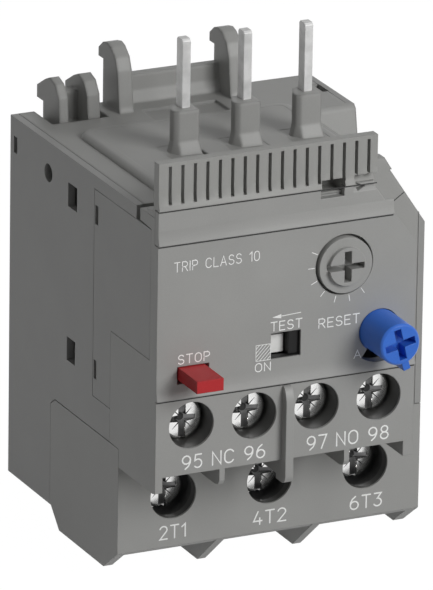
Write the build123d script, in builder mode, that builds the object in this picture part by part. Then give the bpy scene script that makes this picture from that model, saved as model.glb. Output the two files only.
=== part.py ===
from build123d import *
import os

# Thermal overload relay. Millimetres, Z up, front faces -Y.
# X = 0 is the middle of the body, Y = 0 the rear mounting face, Z = 0 the terminal block's lower edge.

# Overall body
WIDTH = 44.0
DEPTH = 46.3
TOP = 49.9
HALF = WIDTH / 2
BACK = 0.0
FRONT = BACK - DEPTH
BLOCK = FRONT + 11.3
SEAM = FRONT + 19.65
LOWER = -0.5
SKIN = 1.05
GAP = 0.06
OVERCUT = 6.0

# Front cover
COVER_RIGHT = HALF - 6.8
COVER_WALL = 1.6
COVER_LOW = 14.5
SKIRT_LOW = 12.4
SKIRT_HALF = 0.38
FACE_LOW = 25.1
FACE_HIGH = TOP - 3.55
BAND_HIGH = TOP + 1.2
CHAMFER_Z = TOP - 8.0
CHAMFER_X = COVER_RIGHT - 6.1
LEDGE = 0.3
LIP_RUN = 2.0
INSERT_Z = 30.15
INSERT_Y = FRONT + 2.1
LEG_Y = FRONT + 14.1
LEG_LOW = 19.4

# Right shoulder behind the cover
SHOULDER_Z = TOP - 8.28
HOLLOW_Z = TOP - 8.9

# Comb
COMB_THICK = 1.45
COMB_TOP = BAND_HIGH + 6.4
COMB_RIGHT = CHAMFER_X + 0.1
SLOT_WIDTH = 0.45
SLOT_COUNT = 17
SLOT_FIRST = -HALF + 1.59
SLOT_PITCH = (COMB_RIGHT - 1.29 - SLOT_FIRST) / (SLOT_COUNT - 1)

# Terminal block
BLOCK_TOP = 14.7
BLOCK_BACK = FRONT + 32.7
BLOCK_WALL = 1.5
MAIN_PITCH = HALF - 8.0
MAIN_Z = 7.15
MAIN_WELL_R = 3.3
MAIN_HEAD_R = 3.05
MAIN_SHAFT_R = 2.0
SIDE_FIN_LOW = -3.2
MID_FIN_LOW = -5.0
MID_FIN_X = MAIN_PITCH / 2
MAIN_ROOM = MAIN_PITCH / 2 - 2.3
MAIN_CAGE = MAIN_PITCH / 2 - 2.7
BUS_HALF = MAIN_PITCH / 2 - 4.0

# Auxiliary terminals
AUX_MARGIN = 0.6
AUX_PITCH = (COVER_RIGHT + HALF - 2 * AUX_MARGIN) / 4
AUX_FIRST = -HALF + AUX_MARGIN + AUX_PITCH / 2
AUX_Z = 21.2
AUX_WELL_R = 3.2
AUX_HEAD_R = 3.0
AUX_SHAFT_R = 1.5
AUX_BACK = FRONT + 13.9
AUX_ROOM = AUX_PITCH / 2 - 0.9
AUX_CAGE = AUX_PITCH / 2 - 1.1
AUX_TAB = AUX_PITCH / 2 - 1.9

# Mechanism plate
PLATE_Y = FRONT + 12.4
PLATE_THICK = 1.4

# Contactor pins and hooks
PIN_PITCH = 8.85
PIN_MID = 1.0
PIN_WIDE = 1.2
PIN_DEEP = 1.85
PIN_Y = FRONT + 22.97
STRIP_PITCH = COVER_RIGHT - 4.0
SHROUD_TOP = 56.5
PIN_TOP = SHROUD_TOP + 9.4
PIN_FOOT = 41.0
HOOK_WIDE = 2.1
HOOK_LEFT = -8.6
HOOK_RIGHT = 7.7
HOOK_TOP = TOP + 8.7

# Operating parts
DIAL_X = COVER_RIGHT - 10.5
DIAL_Z = 40.3
DIAL_R = 3.8
DIAL_WELL_R = 4.15
DIAL_GRIP_R = 2.6
KNOB_X = COVER_RIGHT - 5.2
KNOB_Z = 30.5
KNOB_R = 2.85
KNOB_PROUD = 6.2
STOP_X = -HALF + 5.0
STOP_Z = 28.55
STOP_WIDE = 3.8
STOP_TALL = 1.67
STOP_PROUD = 5.7
TEST_X = -3.8
TEST_Z = 30.4
OPEN_X = TEST_X - 6.6
CLOSE_X = TEST_X + 6.6
LEVER_X = COVER_RIGHT + 1.6
LEVER_Z = 37.0
BAR_Z = 42.1
BAR_THICK = 1.2
RAIL_Z = 35.3
ARM_TOP = RAIL_Z - 0.3
CONTACT_Z = 31.4
RUN = 0.05

os.makedirs("parts", exist_ok=True)


def block(x0, x1, y0, y1, z0, z1, mode=Mode.ADD):
    with Locations(((x0 + x1) / 2, (y0 + y1) / 2, (z0 + z1) / 2)):
        Box(x1 - x0, y1 - y0, z1 - z0, mode=mode)


def side_profile(points, x0, x1, mode=Mode.ADD):
    with BuildSketch(Plane.YZ.offset(x0)) as outline:
        with BuildLine():
            Polyline(*points, close=True)
        make_face()
    extrude(outline.sketch, amount=x1 - x0, mode=mode)


def front_profile(points, y0, y1, mode=Mode.ADD):
    with BuildSketch(Plane.XZ.offset(-y1)) as outline:
        with BuildLine():
            Polyline(*points, close=True)
        make_face()
    extrude(outline.sketch, amount=y1 - y0, mode=mode)


def rod_y(x, z, radius, y0, y1, mode=Mode.ADD):
    with BuildSketch(Plane.XZ.offset(-y1)) as outline:
        with Locations((x, z)):
            Circle(radius)
    extrude(outline.sketch, amount=y1 - y0, mode=mode)


def rod_x(y, z, radius, x0, x1, mode=Mode.ADD):
    with BuildSketch(Plane.YZ.offset(x0)) as outline:
        with Locations((y, z)):
            Circle(radius)
    extrude(outline.sketch, amount=x1 - x0, mode=mode)


def lip(z, x0, x1):
    with BuildSketch(Plane.YZ.offset(x0)) as outline:
        with BuildLine():
            Polyline((FRONT + 0.1, z + LIP_RUN), (FRONT + 0.1, z), (FRONT - LEDGE, z), (FRONT - LEDGE, z + 0.1))
            ThreePointArc((FRONT - LEDGE, z + 0.1), (FRONT - 0.074, z + 1.05), (FRONT, z + LIP_RUN))
            Line((FRONT, z + LIP_RUN), (FRONT + 0.1, z + LIP_RUN))
        make_face()
    extrude(outline.sketch, amount=x1 - x0)


main_x = [-MAIN_PITCH, 0.0, MAIN_PITCH]
aux_x = [AUX_FIRST + AUX_PITCH * i for i in range(4)]
skirt_x = [x + AUX_PITCH / 2 for x in aux_x[:3]]
pin_x = [PIN_MID + PIN_PITCH * (i - 1) for i in range(3)]
strip_x = [STRIP_PITCH * (i - 1) for i in range(3)]

# Rear housing: thermal chamber, roof, right wing, contactor hooks and pin shrouds
CHAMBER_FRONT = FRONT + 21.2
CHAMBER_BACK = BACK - 1.7
INNER_LEFT = -HALF + SKIN + GAP
INNER_RIGHT = HALF - 0.95
ROOM_RIGHT = HALF - 2.5
shoulder = [
    (FRONT + 26.0, HOLLOW_Z),
    (FRONT + 29.5, HOLLOW_Z + 1.2),
    (FRONT + 31.4, HOLLOW_Z + 4.0),
    (FRONT + 32.25, TOP - 0.5),
    (FRONT + 32.8, TOP),
]
with BuildPart() as rear_housing:
    side_profile(
        [
            (SEAM + GAP, BLOCK_TOP + GAP),
            (FRONT + 31.4, BLOCK_TOP + GAP),
            (BLOCK_BACK + GAP, BLOCK_TOP - 0.9),
            (BLOCK_BACK + GAP, LOWER),
            (BACK, LOWER),
            (BACK, TOP),
            (FRONT + 6.7, TOP),
            (FRONT + 6.7, TOP - 1.8),
            (SEAM + GAP, TOP - 1.8),
        ],
        INNER_LEFT,
        INNER_RIGHT,
    )
    # right wing with the sloping shoulder
    front_profile(
        [
            (COVER_RIGHT + GAP, BLOCK_TOP + GAP),
            (INNER_RIGHT, BLOCK_TOP + GAP),
            (INNER_RIGHT, SHOULDER_Z),
            (COVER_RIGHT + 0.3, TOP),
            (COVER_RIGHT + GAP, TOP),
        ],
        BLOCK,
        SEAM + 0.1,
    )
    front_profile(
        [
            (COVER_RIGHT + 0.3, TOP + 0.6),
            (INNER_RIGHT + 0.1, TOP + 0.6),
            (INNER_RIGHT + 0.1, SHOULDER_Z - 0.12),
        ],
        FRONT + 5.3,
        BLOCK + 1.6,
        Mode.SUBTRACT,
    )
    block(CHAMFER_X - 0.8, HALF + 1, FRONT, BLOCK, CHAMFER_Z - 1.9, TOP + 1, Mode.SUBTRACT)
    # hollow behind the sloping shoulder
    side_profile(
        [(BLOCK + 1.6, HOLLOW_Z), *shoulder, (FRONT + 32.8, TOP + 0.6), (BLOCK + 1.6, TOP + 0.6)],
        COVER_RIGHT - 0.7,
        INNER_RIGHT + 1,
        Mode.SUBTRACT,
    )
    # block behind the hollow, out to the right side
    side_profile(
        [
            (BLOCK + 1.66, HOLLOW_Z - 0.74),
            (BLOCK + 1.66, HOLLOW_Z),
            *shoulder,
            (FRONT + 33.5, TOP),
            (FRONT + 33.5, HOLLOW_Z - 0.74),
        ],
        INNER_RIGHT - 0.1,
        HALF,
    )
    # front wall and side wall that close the mechanism's upper right corner
    front_profile(
        [
            (COVER_RIGHT + 0.3, TOP),
            (COVER_RIGHT + 0.3, CHAMFER_Z - 2.9),
            (COVER_RIGHT - 1.35, CHAMFER_Z - 2.9),
            (COVER_RIGHT - 1.35, CHAMFER_Z - 0.3),
            (CHAMFER_X - 0.4, TOP - 1.7),
            (CHAMFER_X - 0.4, TOP),
        ],
        BLOCK,
        BLOCK + 1.6,
    )
    block(COVER_RIGHT - 1.3, COVER_RIGHT - 0.7, BLOCK + 1.5, SEAM + 0.3, CHAMFER_Z - 2.4, TOP)
    # thermal chamber, open to the left cover
    block(INNER_LEFT - 1, ROOM_RIGHT, CHAMBER_FRONT, CHAMBER_BACK, 16.4, HOLLOW_Z - 1, Mode.SUBTRACT)
    block(INNER_LEFT - 1, COVER_RIGHT - 1.5, CHAMBER_FRONT, CHAMBER_BACK, 39.0, TOP - 2, Mode.SUBTRACT)
    block(COVER_RIGHT - 1.6, ROOM_RIGHT, FRONT + 33.2, CHAMBER_BACK, 39.0, TOP - 2, Mode.SUBTRACT)
    block(COVER_RIGHT + GAP - 1, ROOM_RIGHT, BLOCK + 1.6, SEAM + 0.3, 16.4, HOLLOW_Z - 1.4, Mode.SUBTRACT)
    # walls between the phases
    for wall_x in (-MID_FIN_X, MID_FIN_X):
        block(wall_x - 0.6, wall_x + 0.6, CHAMBER_FRONT - 0.1, CHAMBER_BACK + 0.1, 16.3, 38.5)
    # slots for the busbars and lever shaft
    for x in main_x:
        block(x - BUS_HALF - 0.1, x + BUS_HALF + 0.1, FRONT + 22.9, FRONT + 24.2, 14, 17, Mode.SUBTRACT)
    rod_y(LEVER_X, LEVER_Z, 1.05, FRONT + 19, FRONT + 22, Mode.SUBTRACT)
    # raised roof panel with rounded rear corners
    with BuildSketch(Plane.XY.offset(TOP - 0.5)) as panel:
        with BuildLine():
            Polyline(
                (-HALF + 5.4, FRONT + 6.7),
                (-HALF + 5.4, FRONT + 34.5),
                (COVER_RIGHT - 2.7, FRONT + 34.5),
                (COVER_RIGHT - 2.7, BLOCK),
                (CHAMFER_X - 0.8, BLOCK),
                (CHAMFER_X - 0.8, FRONT + 6.7),
                close=True,
            )
        make_face()
        fillet(panel.vertices().sort_by(Axis.Y)[-2:], 1.5)
    extrude(panel.sketch, amount=1.3)
    # notches in the panel around the shrouds
    for x in pin_x:
        block(x - 3.0, x + 2.0, FRONT + 12, FRONT + 24.4, TOP, TOP + 2, Mode.SUBTRACT)
    # shallow recess in the roof floor, and the narrow slot at the right
    block(-5.1, 5.7, BACK - 9.9, BACK - 5.0, TOP - 0.35, TOP + 0.4, Mode.SUBTRACT)
    block(HALF - 1.7, HALF - 0.8, BACK - 7.5, BACK - 4.3, TOP - 1.4, TOP + 1, Mode.SUBTRACT)
    # shrouds with a flared foot
    for x in pin_x:
        body = [(-1.35, 24.0), (-2.15, 22.4), (-2.15, 21.3), (-1.6, 20.8), (1.35, 20.8), (1.35, 24.0)]
        foot = [(-1.35, 24.1), (-2.9, 22.6), (-2.9, 21.9), (-1.5, 19.0), (1.7, 18.6), (1.9, 24.1)]
        sections = []
        for z, share in ((TOP - 0.4, 1.0), (TOP + 0.9, 0.35), (TOP + 2.4, 0.0)):
            ring = [
                (x + b[0] + share * (f[0] - b[0]), FRONT + b[1] + share * (f[1] - b[1]))
                for b, f in zip(body, foot)
            ]
            with BuildSketch(Plane.XY.offset(z)) as section:
                with BuildLine():
                    Polyline(*ring, close=True)
                make_face()
            sections.append(section.sketch)
        loft([section.faces()[0] for section in sections], ruled=True)
        extrude(sections[-1], amount=SHROUD_TOP - TOP - 2.4)
        block(
            x - PIN_WIDE / 2 - 0.02,
            x + PIN_WIDE / 2 + 0.02,
            PIN_Y - PIN_DEEP / 2 - 0.02,
            PIN_Y + PIN_DEEP / 2 + 0.02,
            TOP - 3.9,
            SHROUD_TOP + 1,
            Mode.SUBTRACT,
        )
    # sunk bay with the two short hooks
    block(HOOK_LEFT - 10.0, HOOK_LEFT - 1.8, BACK - 5.9, BACK + 0.2, TOP - 1.2, TOP + 2, Mode.SUBTRACT)
    for left, right in ((HOOK_LEFT - 8.7, HOOK_LEFT - 7.4), (HOOK_LEFT - 4.6, HOOK_LEFT - 2.8)):
        side_profile(
            [
                (BACK - 5.4, TOP - 1.3),
                (BACK - 5.0, TOP + 3.1),
                (BACK - 3.8, TOP + 4.7),
                (BACK - 2.1, TOP + 5.2),
                (BACK - 0.7, TOP + 4.6),
                (BACK + 2.0, TOP + 3.0),
                (BACK + 2.0, TOP + 1.3),
                (BACK, TOP + 1.3),
                (BACK, TOP - 1.3),
            ],
            left,
            right,
        )
    block(HOOK_LEFT - 7.5, HOOK_LEFT - 4.5, BACK - 1.9, BACK, TOP - 1.3, TOP + 2.9)
    # tall hooks and the wall between them
    for left in (HOOK_LEFT, HOOK_RIGHT):
        side_profile(
            [
                (BACK - 5.6, TOP - 0.3),
                (BACK - 5.2, TOP + 0.6),
                (BACK - 4.55, HOOK_TOP - 3.1),
                (BACK - 3.8, HOOK_TOP - 1.4),
                (BACK - 2.4, HOOK_TOP - 0.3),
                (BACK - 1.3, HOOK_TOP),
                (BACK + 0.1, HOOK_TOP - 0.3),
                (BACK + 1.5, HOOK_TOP - 1.4),
                (BACK + 1.5, HOOK_TOP - 2.6),
                (BACK, HOOK_TOP - 2.6),
                (BACK, TOP - 0.3),
            ],
            left,
            left + HOOK_WIDE,
        )
    side_profile(
        [
            (BACK - 2.4, TOP - 0.5),
            (BACK - 2.0, TOP + 0.5),
            (BACK - 1.4, TOP + 1.5),
            (BACK - 1.3, TOP + 3.8),
            (BACK, TOP + 3.8),
            (BACK, TOP - 0.5),
        ],
        HOOK_LEFT + HOOK_WIDE - 0.1,
        HOOK_RIGHT + 0.1,
    )
rear_housing.part.label = "rear_housing"
export_step(rear_housing.part, "parts/rear_housing.step")

# Left side cover with its small windows
with BuildPart() as left_side_cover:
    side_profile(
        [
            (LEG_Y + 0.05, BLOCK_TOP + 0.12),
            (LEG_Y + 0.05, LEG_LOW - 0.05),
            (SEAM, LEG_LOW - 0.05),
            (SEAM, TOP - 1.84),
            (FRONT + 6.65, TOP - 1.84),
            (FRONT + 6.65, TOP),
            (BACK, TOP),
            (BACK, LOWER),
            (BLOCK_BACK + 0.06, LOWER),
            (BLOCK_BACK + 0.06, BLOCK_TOP - 0.83),
            (FRONT + 31.38, BLOCK_TOP + 0.12),
        ],
        -HALF,
        -HALF + SKIN,
    )
    for y0, y1, z0, z1 in (
        (FRONT + 25.0, FRONT + 27.8, TOP - 6.9, TOP - 3.6),
        (FRONT + 25.2, FRONT + 27.8, 21.6, 24.9),
        (BACK - 2.2, BACK - 1.1, TOP - 4.9, TOP - 2.6),
    ):
        block(-HALF - 1, -HALF + 2, y0, y1, z0, z1, Mode.SUBTRACT)
    rod_x(FRONT + 34.1, TOP - 4.3, 1.25, -HALF - 1, -HALF + 2, Mode.SUBTRACT)
    # locating pegs inside
    for y, z in ((BACK - 3.3, 10.0), (BACK - 2.9, 20.0)):
        rod_x(y, z, 0.8, -HALF + SKIN - 0.1, -HALF + SKIN + 0.04)
left_side_cover.part.label = "left_side_cover"
export_step(left_side_cover.part, "parts/left_side_cover.step")

# Right side cover
with BuildPart() as right_side_cover:
    side_profile(
        [
            (BLOCK, BLOCK_TOP + 0.12),
            (BLOCK, TOP),
            (BACK, TOP),
            (BACK, LOWER),
            (BLOCK_BACK + 0.06, LOWER),
            (BLOCK_BACK + 0.06, BLOCK_TOP - 0.83),
            (FRONT + 31.38, BLOCK_TOP + 0.12),
        ],
        INNER_RIGHT + GAP,
        HALF,
    )
    front_profile(
        [(HALF + 0.1, SHOULDER_Z - 1.57), (HALF + 0.1, TOP + 0.6), (COVER_RIGHT - 0.1, TOP + 0.6)],
        BLOCK - 1,
        BLOCK + 1.6,
        Mode.SUBTRACT,
    )
    block(COVER_RIGHT, HALF + 1, BLOCK + 1.6, FRONT + 33.56, HOLLOW_Z - 0.8, TOP + 0.6, Mode.SUBTRACT)
    block(HALF - 1.7, HALF - 0.8, BACK - 7.5, BACK - 4.3, TOP - 1.4, TOP + 1, Mode.SUBTRACT)
right_side_cover.part.label = "right_side_cover"
export_step(right_side_cover.part, "parts/right_side_cover.step")

# L-shaped side insert
with BuildPart() as side_insert:
    side_profile(
        [
            (INSERT_Y + 0.05, INSERT_Z + 0.05),
            (INSERT_Y + 0.05, TOP - 1.9),
            (SEAM - 0.07, TOP - 1.9),
            (SEAM - 0.07, LEG_LOW + 0.02),
            (LEG_Y + 0.05, LEG_LOW + 0.02),
            (LEG_Y + 0.05, INSERT_Z + 0.05),
        ],
        -HALF,
        -HALF + SKIN,
    )
    block(-HALF - 1, -HALF + 0.8, SEAM - 1.3, SEAM - 0.35, TOP - 6.6, TOP - 4.0, Mode.SUBTRACT)
    block(-HALF - 1, -HALF + 0.8, SEAM - 1.15, SEAM - 0.35, 21.9, 24.5, Mode.SUBTRACT)
side_insert.part.label = "side_insert"
export_step(side_insert.part, "parts/side_insert.step")

# Front cover: a deep cap with three stepped bands, side walls and skirts between the terminals
with BuildPart() as front_cover:
    front_profile(
        [
            (-HALF, COVER_LOW),
            (COVER_RIGHT, COVER_LOW),
            (COVER_RIGHT, CHAMFER_Z),
            (CHAMFER_X + 0.15, TOP),
            (-HALF, TOP),
        ],
        FRONT,
        FRONT + COVER_WALL,
    )
    # right wall following the sloping corner
    front_profile(
        [
            (COVER_RIGHT - 1.4, SKIRT_LOW),
            (COVER_RIGHT, SKIRT_LOW),
            (COVER_RIGHT, CHAMFER_Z),
            (CHAMFER_X + 0.15, TOP),
            (-HALF, TOP),
            (-HALF, TOP - 1.6),
            (CHAMFER_X - 0.7, TOP - 1.6),
            (COVER_RIGHT - 1.4, CHAMFER_Z - 0.5),
        ],
        FRONT,
        FRONT + 5.5,
    )
    front_profile(
        [
            (COVER_RIGHT - 1.4, SKIRT_LOW),
            (COVER_RIGHT, SKIRT_LOW),
            (COVER_RIGHT, CHAMFER_Z),
            (CHAMFER_X + 0.15, TOP),
            (CHAMFER_X - 0.7, TOP - 1.6),
            (COVER_RIGHT - 1.4, CHAMFER_Z - 0.5),
        ],
        FRONT + 5.4,
        BLOCK,
    )
    # left wall, cut away for the side insert
    side_profile(
        [
            (FRONT, SKIRT_LOW),
            (FRONT + 0.8, SKIRT_LOW - 0.2),
            (BLOCK - 0.06, SKIRT_LOW - 0.2),
            (BLOCK - 0.06, BLOCK_TOP + 0.06),
            (LEG_Y, BLOCK_TOP + 0.12),
            (LEG_Y, INSERT_Z),
            (INSERT_Y, INSERT_Z),
            (INSERT_Y, TOP - 1.8),
            (FRONT + 5.5, TOP - 1.55),
            (FRONT + 5.5, TOP),
            (FRONT, TOP),
        ],
        -HALF,
        -HALF + SKIN,
    )
    # skirts that hang between the auxiliary terminals, the middle one with a fin
    for x in skirt_x:
        side_profile(
            [
                (FRONT, COVER_LOW + 0.2),
                (FRONT, SKIRT_LOW + 0.5),
                (FRONT + 0.4, SKIRT_LOW - 0.1),
                (FRONT + 1.3, SKIRT_LOW - 0.35),
                (BLOCK, SKIRT_LOW - 0.35),
                (BLOCK, COVER_LOW + 0.2),
            ],
            x - SKIRT_HALF,
            x + SKIRT_HALF,
        )
    side_profile(
        [
            (FRONT + COVER_WALL, FACE_LOW - 0.4),
            (FRONT - 0.1, FACE_LOW - 0.4),
            (FRONT - 0.9, FACE_LOW - 2.1),
            (FRONT - 1.2, SKIRT_LOW + 0.2),
            (FRONT - 0.7, SKIRT_LOW - 0.7),
            (FRONT + 0.5, SKIRT_LOW - 1.0),
            (FRONT + COVER_WALL, SKIRT_LOW - 1.0),
        ],
        skirt_x[1] - 0.45,
        skirt_x[1] + 0.65,
    )
    # lower edge of the middle band, running out upwards, with a fine groove under it
    lip(FACE_LOW, -HALF, COVER_RIGHT)
    block(-HALF - 1, HALF, FRONT - 1, FRONT + 0.3, FACE_LOW - 0.15, FACE_LOW, Mode.SUBTRACT)
    # shallow bay for the label carrier
    block(-HALF - 1, HALF, FRONT - 1, FRONT + 1.0, FACE_HIGH - 0.12, TOP + 1, Mode.SUBTRACT)
    # wells of the auxiliary terminals
    for x in aux_x:
        rod_y(x, AUX_Z, AUX_WELL_R, FRONT - 1, FRONT + 2, Mode.SUBTRACT)
    # dial well, window, stop opening and knob bore
    rod_y(DIAL_X, DIAL_Z, DIAL_WELL_R, FRONT - 1, FRONT + 2, Mode.SUBTRACT)
    block(TEST_X - 1.9, TEST_X + 2.4, FRONT - 1, FRONT + 2, TEST_Z - 1.75, TEST_Z + 1.8, Mode.SUBTRACT)
    block(STOP_X - 2.05, STOP_X + 2.5, FRONT - 1, FRONT + 2, STOP_Z - 1.45, STOP_Z + 0.95, Mode.SUBTRACT)
    rod_y(KNOB_X, KNOB_Z, KNOB_R + 0.1, FRONT - 1, FRONT + 2, Mode.SUBTRACT)
    # curved slot that takes the knob's pointer when it is pressed
    with BuildSketch(Plane.XZ.offset(-FRONT - 2)) as slot:
        with BuildLine():
            for radius in (KNOB_R - 0.2, 4.35):
                CenterArc((KNOB_X, KNOB_Z), radius, -126, 70)
            for angle in (-126, -56):
                Line(
                    Vector(KNOB_X, KNOB_Z) + Vector(KNOB_R - 0.2, 0).rotate(Axis.Z, angle),
                    Vector(KNOB_X, KNOB_Z) + Vector(4.35, 0).rotate(Axis.Z, angle),
                )
        make_face()
    extrude(slot.sketch, amount=4, mode=Mode.SUBTRACT)
front_cover.part.label = "front_cover"
export_step(front_cover.part, "parts/front_cover.step")

# Label carrier clipped into the top band
SHUT_LEFT = CHAMFER_X - 7.95
SHUT_RIGHT = CHAMFER_X - 4.6
OPEN_LEFT = CHAMFER_X - 3.25
with BuildPart() as label_carrier:
    front_profile(
        [
            (-HALF, FACE_HIGH),
            (COVER_RIGHT - 3.35, FACE_HIGH),
            (CHAMFER_X, TOP + 0.3),
            (CHAMFER_X, BAND_HIGH - 0.15),
            (-HALF, BAND_HIGH - 0.15),
        ],
        FRONT,
        FRONT + 0.95,
    )
    lip(FACE_HIGH, -HALF, COVER_RIGHT - 3.5)
    block(SHUT_LEFT, SHUT_RIGHT, FRONT - 1, FRONT + 1, TOP - 0.2, TOP + 3, Mode.SUBTRACT)
    side_profile(
        [(FRONT - 1, TOP - 0.9), (FRONT - 1, TOP + 2), (FRONT + 1.52, TOP + 2), (FRONT, TOP + 0.1)],
        OPEN_LEFT,
        COMB_RIGHT + 1,
        Mode.SUBTRACT,
    )
    front_profile(
        [(OPEN_LEFT + 0.3, TOP + 1.2), (OPEN_LEFT + 1.9, TOP + 0.65), (OPEN_LEFT + 0.6, TOP + 0.2)],
        FRONT - 1,
        FRONT + 1,
        Mode.SUBTRACT,
    )
label_carrier.part.label = "label_carrier"
export_step(label_carrier.part, "parts/label_carrier.step")

# Vent comb standing on the cover
with BuildPart() as vent_comb:
    block(-HALF, COMB_RIGHT, FRONT, FRONT + COMB_THICK, BAND_HIGH, COMB_TOP)
    lip(BAND_HIGH, -HALF, COMB_RIGHT)
    block(-HALF, COMB_RIGHT, FRONT + 1.0, FRONT + COMB_THICK, TOP + 0.05, BAND_HIGH + 0.1)
    block(-HALF, CHAMFER_X, FRONT + 1.0, FRONT + 3.6, TOP + 0.05, TOP + 0.7)
    for i in range(SLOT_COUNT):
        x = SLOT_FIRST + SLOT_PITCH * i
        block(
            x - SLOT_WIDTH / 2,
            x + SLOT_WIDTH / 2,
            FRONT - 1,
            FRONT + 2,
            BAND_HIGH + 0.7,
            COMB_TOP - 0.5,
            Mode.SUBTRACT,
        )
    # closed pocket with its box behind, and the open sloping pocket beside it
    block(SHUT_LEFT - 0.4, SHUT_RIGHT + 0.4, FRONT + 1.2, FRONT + 3.9, TOP + 0.05, TOP + 2.7)
    block(SHUT_LEFT, SHUT_RIGHT, FRONT - 1, FRONT + 3.5, TOP + 0.35, TOP + 2.3, Mode.SUBTRACT)
    side_profile(
        [
            (FRONT - 1, TOP - 0.9),
            (FRONT - 1, TOP + 2.4),
            (FRONT + 1.6, TOP + 2.4),
            (FRONT + 1.6, TOP + 2.1),
            (FRONT, TOP + 0.1),
        ],
        OPEN_LEFT,
        COMB_RIGHT + 1,
        Mode.SUBTRACT,
    )
vent_comb.part.label = "vent_comb"
export_step(vent_comb.part, "parts/vent_comb.step")

# Auxiliary terminal block with four open wire chambers
AUX_LEFT = -HALF + SKIN + 0.06
AUX_RIGHT = COVER_RIGHT - 1.46
TAB_Y = FRONT + 8.4
TAB_THICK = 0.8
with BuildPart() as aux_terminal_block:
    block(AUX_LEFT, AUX_RIGHT, FRONT + COVER_WALL + 0.05, AUX_BACK, BLOCK_TOP + 0.12, 24.9)
    for x in aux_x:
        block(
            x - AUX_ROOM,
            x + AUX_ROOM,
            FRONT + 2.9,
            FRONT + 12.4,
            BLOCK_TOP - 4,
            AUX_Z + 2.9,
            Mode.SUBTRACT,
        )
        rod_y(x, AUX_Z, AUX_WELL_R, FRONT + 1, FRONT + 5.2, Mode.SUBTRACT)
        block(
            x - AUX_TAB - 0.05,
            x + AUX_TAB + 0.05,
            TAB_Y - 0.02,
            TAB_Y + TAB_THICK + 0.02,
            AUX_Z + 2.8,
            AUX_Z + 4.8,
            Mode.SUBTRACT,
        )
aux_terminal_block.part.label = "aux_terminal_block"
export_step(aux_terminal_block.part, "parts/aux_terminal_block.step")

# Main terminal block with three chambers, end walls and hanging fins
BUS_Y = FRONT + 23.0
BUS_THICK = 1.0
with BuildPart() as terminal_block:
    side_profile(
        [
            (BLOCK, 0),
            (BLOCK, BLOCK_TOP),
            (FRONT + 31.35, BLOCK_TOP),
            (BLOCK_BACK, BLOCK_TOP - 0.93),
            (BLOCK_BACK, LOWER),
            (BLOCK + 0.6, LOWER),
        ],
        -HALF,
        HALF,
    )
    for x0, x1 in ((-HALF, -HALF + 1.3), (HALF - 1.5, HALF)):
        side_profile(
            [
                (BLOCK, 0.0),
                (BLOCK + 4.3, SIDE_FIN_LOW),
                (FRONT + 29.7, SIDE_FIN_LOW),
                (FRONT + 32.4, LOWER),
                (FRONT + 32.4, 1),
                (BLOCK, 1),
            ],
            x0,
            x1,
        )
    for x in (-MID_FIN_X, MID_FIN_X):
        side_profile(
            [
                (BLOCK + 0.1, -0.2),
                (BLOCK + 5.9, MID_FIN_LOW),
                (FRONT + 27.0, MID_FIN_LOW),
                (FRONT + 31.6, LOWER),
                (FRONT + 31.6, 1),
                (BLOCK + 0.1, 1),
            ],
            x - 0.6,
            x + 0.6,
        )
    for x in main_x:
        rod_y(x, MAIN_Z, MAIN_WELL_R, BLOCK - 1, BLOCK + BLOCK_WALL + 0.1, Mode.SUBTRACT)
        block(
            x - MAIN_ROOM,
            x + MAIN_ROOM,
            BLOCK + BLOCK_WALL,
            FRONT + 29.0,
            LOWER - 1.5,
            BLOCK_TOP - 2.3,
            Mode.SUBTRACT,
        )
        block(
            x - BUS_HALF - 0.05,
            x + BUS_HALF + 0.05,
            BUS_Y - 0.02,
            BUS_Y + BUS_THICK + 0.02,
            BLOCK_TOP - 2.7,
            BLOCK_TOP + 1.3,
            Mode.SUBTRACT,
        )
terminal_block.part.label = "terminal_block"
export_step(terminal_block.part, "parts/terminal_block.step")

# Mechanism plate behind the front cover
with BuildPart() as mechanism_plate:
    block(AUX_LEFT, AUX_RIGHT, PLATE_Y, PLATE_Y + PLATE_THICK, 24.95, CHAMFER_Z - 0.6)
    block(AUX_LEFT, CHAMFER_X - 0.8, PLATE_Y, PLATE_Y + PLATE_THICK, CHAMFER_Z - 0.9, TOP - 1.95)
    # sleeves for dial shaft, reset rod and stop rod
    rod_y(DIAL_X, DIAL_Z, 3.0, PLATE_Y - 3.0, PLATE_Y + 0.1)
    rod_y(KNOB_X, KNOB_Z, 2.6, PLATE_Y - 1.2, PLATE_Y + 0.1)
    rod_y(STOP_X, STOP_Z, 2.3, PLATE_Y - 1.2, PLATE_Y + 0.1)
    rod_y(DIAL_X, DIAL_Z, 2.0 + RUN, PLATE_Y - 4, PLATE_Y + 3, Mode.SUBTRACT)
    rod_y(KNOB_X, KNOB_Z, 1.4 + RUN, PLATE_Y - 4, PLATE_Y + 3, Mode.SUBTRACT)
    rod_y(STOP_X, STOP_Z, 1.1 + RUN, PLATE_Y - 4, PLATE_Y + 3, Mode.SUBTRACT)
    # rail that carries the test slide
    block(TEST_X - 5.1, TEST_X + 5.3, FRONT + 7.7, PLATE_Y + 0.1, RAIL_Z, RAIL_Z + 1.0)
    block(TEST_X - 5.1, TEST_X + 5.3, FRONT + 5.2, FRONT + 7.8, RAIL_Z - 0.1, RAIL_Z + 1.0)
mechanism_plate.part.label = "mechanism_plate"
export_step(mechanism_plate.part, "parts/mechanism_plate.step")

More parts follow.
